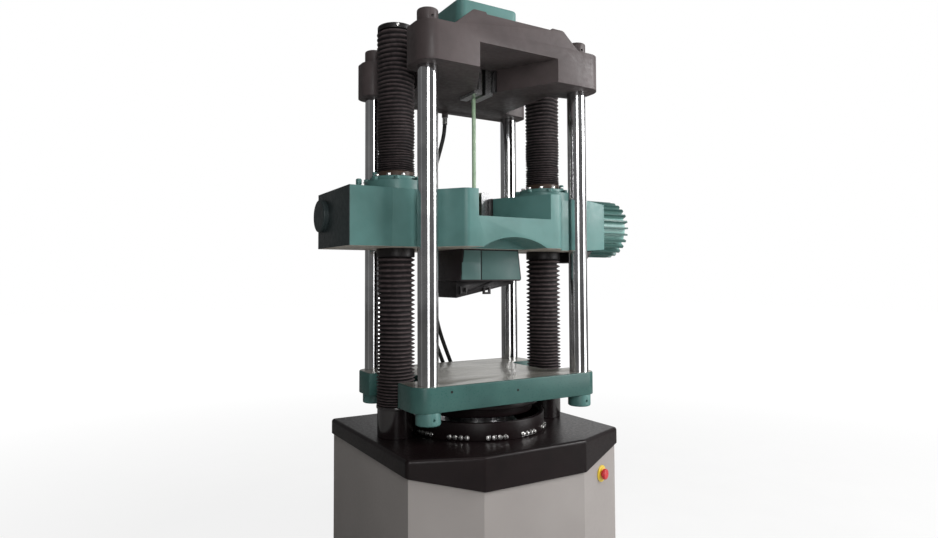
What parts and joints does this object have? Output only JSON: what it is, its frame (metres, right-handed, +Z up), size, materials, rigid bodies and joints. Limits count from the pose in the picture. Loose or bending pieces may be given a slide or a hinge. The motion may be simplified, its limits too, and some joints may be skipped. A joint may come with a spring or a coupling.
{
  "type": "universal testing machine",
  "caption": "Floor-standing hydraulic universal testing machine: faceted cabinet, ram-lifted table and chrome columns, open-front wedge-grip crossheads, bellowed screws and a finned motor.",
  "frame": {"origin": "on the floor, on the vertical axis of the ram, under the base plate", "axes": "+X to the right as the operator faces the machine, +Y to the back, +Z up along the ram's stroke"},
  "size_m": [1.852, 1.119, 2.99],
  "materials": {
    "cabinet_grey": "satin light grey paint on sheet steel",
    "cover_black": "semi-gloss brown-black paint",
    "green_paint": "semi-gloss blue-green machine paint",
    "brown_paint": "satin charcoal-brown machine paint on cast iron",
    "chrome_column": "ground and hard-chromed",
    "bright_steel": "ground steel",
    "dark_steel": "blackened steel",
    "grey_iron": "grey primer",
    "bronze_nut": "machined bronze",
    "bellows_cloth": "rubber-coated pleated cloth",
    "hose_rubber": "smooth black rubber",
    "test_bar_green": "pale green coating",
    "stop_red": "gloss red",
    "stop_yellow": "gloss yellow"
  },
  "bodies": {
    "base": {"base_plate": "dark_steel", "cabinet_left_panel": "cabinet_grey", "cabinet_right_panel": "cabinet_grey", "cabinet_front_panel": "cabinet_grey", "cabinet_back_panel": "cabinet_grey", "base_cover": "cover_black", "cylinder_body": "grey_iron", "gland_ring": "bright_steel", "ram_guard_ring": "cover_black", "left_screw": "bright_steel", "right_screw": "bright_steel", "screw_pedestals": "cover_black", "screw_foundation_nuts": "dark_steel", "screw_caps": "dark_steel", "left_lower_bellows": "bellows_cloth", "right_lower_bellows": "bellows_cloth", "left_upper_bellows": "bellows_cloth", "right_upper_bellows": "bellows_cloth", "estop_collar": "stop_yellow", "oil_reservoir": "grey_iron", "pump_motor": "grey_iron", "hydraulic_pump": "grey_iron", "left_grip_hose": "hose_rubber", "right_grip_hose": "hose_rubber"},
    "ram": {"ram": "bright_steel", "ram_head": "cover_black", "table": "green_paint", "front_left_column": "chrome_column", "front_right_column": "chrome_column", "back_left_column": "chrome_column", "back_right_column": "chrome_column", "lower_column_nuts": "green_paint", "upper_column_nuts": "brown_paint", "upper_crosshead": "brown_paint", "upper_grip_housing": "green_paint", "upper_grip_cylinder": "bright_steel", "upper_jaw_guides": "dark_steel", "test_bar": "test_bar_green", "upper_grip_hose": "hose_rubber"},
    "crosshead": {"adjustable_crosshead": "green_paint", "left_end_housing": "green_paint", "left_bearing_cap": "green_paint", "nut_covers": "green_paint", "bellows_collars": "dark_steel", "gear_case": "green_paint", "gear_case_bracket": "dark_steel", "motor_housing": "green_paint", "lower_grip_housing": "green_paint", "lower_grip_manifold": "dark_steel", "lower_jaw_guides": "dark_steel", "worm_bearings": "bright_steel"},
    "left_drive_nut": {"left_drive_nut": "bronze_nut"},
    "right_drive_nut": {"right_drive_nut": "bronze_nut"},
    "worm_shaft": {"worm_shaft": "bright_steel"},
    "motor_rotor": {"motor_rotor": "bright_steel"},
    "upper_left_jaw": {"upper_left_jaw": "bright_steel"},
    "upper_right_jaw": {"upper_right_jaw": "bright_steel"},
    "lower_left_jaw": {"lower_left_jaw": "bright_steel"},
    "lower_right_jaw": {"lower_right_jaw": "bright_steel"},
    "estop_button": {"estop_button": "stop_red"}
  },
  "joints": [
    {"name": "ram_lift", "type": "slide", "parent": "base", "child": "ram", "axis": [0, 0, 1], "range_m": [0, 0.15]},
    {"name": "crosshead_travel", "type": "slide", "parent": "base", "child": "crosshead", "axis": [0, 0, 1], "range_m": [-0.2, 0.35], "deforming": ["left_lower_bellows", "right_lower_bellows", "left_upper_bellows", "right_upper_bellows", "left_grip_hose", "right_grip_hose"]},
    {"name": "left_nut_turn", "type": "hinge", "parent": "crosshead", "child": "left_drive_nut", "pos_m": [-0.478, 0, 1.832], "axis": [0, 0, 1], "range_deg": [-3010, 5260]},
    {"name": "right_nut_turn", "type": "hinge", "parent": "crosshead", "child": "right_drive_nut", "pos_m": [0.478, 0, 1.832], "axis": [0, 0, 1], "range_deg": [-3010, 5260]},
    {"name": "worm_turn", "type": "hinge", "parent": "crosshead", "child": "worm_shaft", "pos_m": [0, 0.14, 1.832], "axis": [1, 0, 0], "range_deg": [-15010, 26260]},
    {"name": "rotor_turn", "type": "hinge", "parent": "crosshead", "child": "motor_rotor", "pos_m": [0.9, 0.0007, 1.818], "axis": [1, 0, 0], "range_deg": [-26260, 15010]},
    {"name": "upper_left_jaw_slide", "type": "slide", "parent": "ram", "child": "upper_left_jaw", "axis": [-0.1736, 0, 0.9848], "range_m": [0, 0.05]},
    {"name": "upper_right_jaw_slide", "type": "slide", "parent": "ram", "child": "upper_right_jaw", "axis": [0.1736, 0, 0.9848], "range_m": [0, 0.05]},
    {"name": "lower_left_jaw_slide", "type": "slide", "parent": "crosshead", "child": "lower_left_jaw", "axis": [-0.1736, 0, -0.9848], "range_m": [0, 0.05]},
    {"name": "lower_right_jaw_slide", "type": "slide", "parent": "crosshead", "child": "lower_right_jaw", "axis": [0.1736, 0, -0.9848], "range_m": [0, 0.05]},
    {"name": "estop_press", "type": "slide", "parent": "base", "child": "estop_button", "axis": [-0.3539, 0.9353, 0], "range_m": [0, 0.006], "stiffness_N_per_m": 2500}
  ],
  "couplings": [
    {"joint": "left_nut_turn", "follows": "crosshead_travel", "rad_per_m": 261.8},
    {"joint": "right_nut_turn", "follows": "crosshead_travel", "rad_per_m": 261.8},
    {"joint": "worm_turn", "follows": "crosshead_travel", "rad_per_m": 1309},
    {"joint": "rotor_turn", "follows": "crosshead_travel", "rad_per_m": -1309},
    {"joint": "upper_right_jaw_slide", "follows": "upper_left_jaw_slide", "ratio": 1},
    {"joint": "lower_right_jaw_slide", "follows": "lower_left_jaw_slide", "ratio": 1}
  ]
}
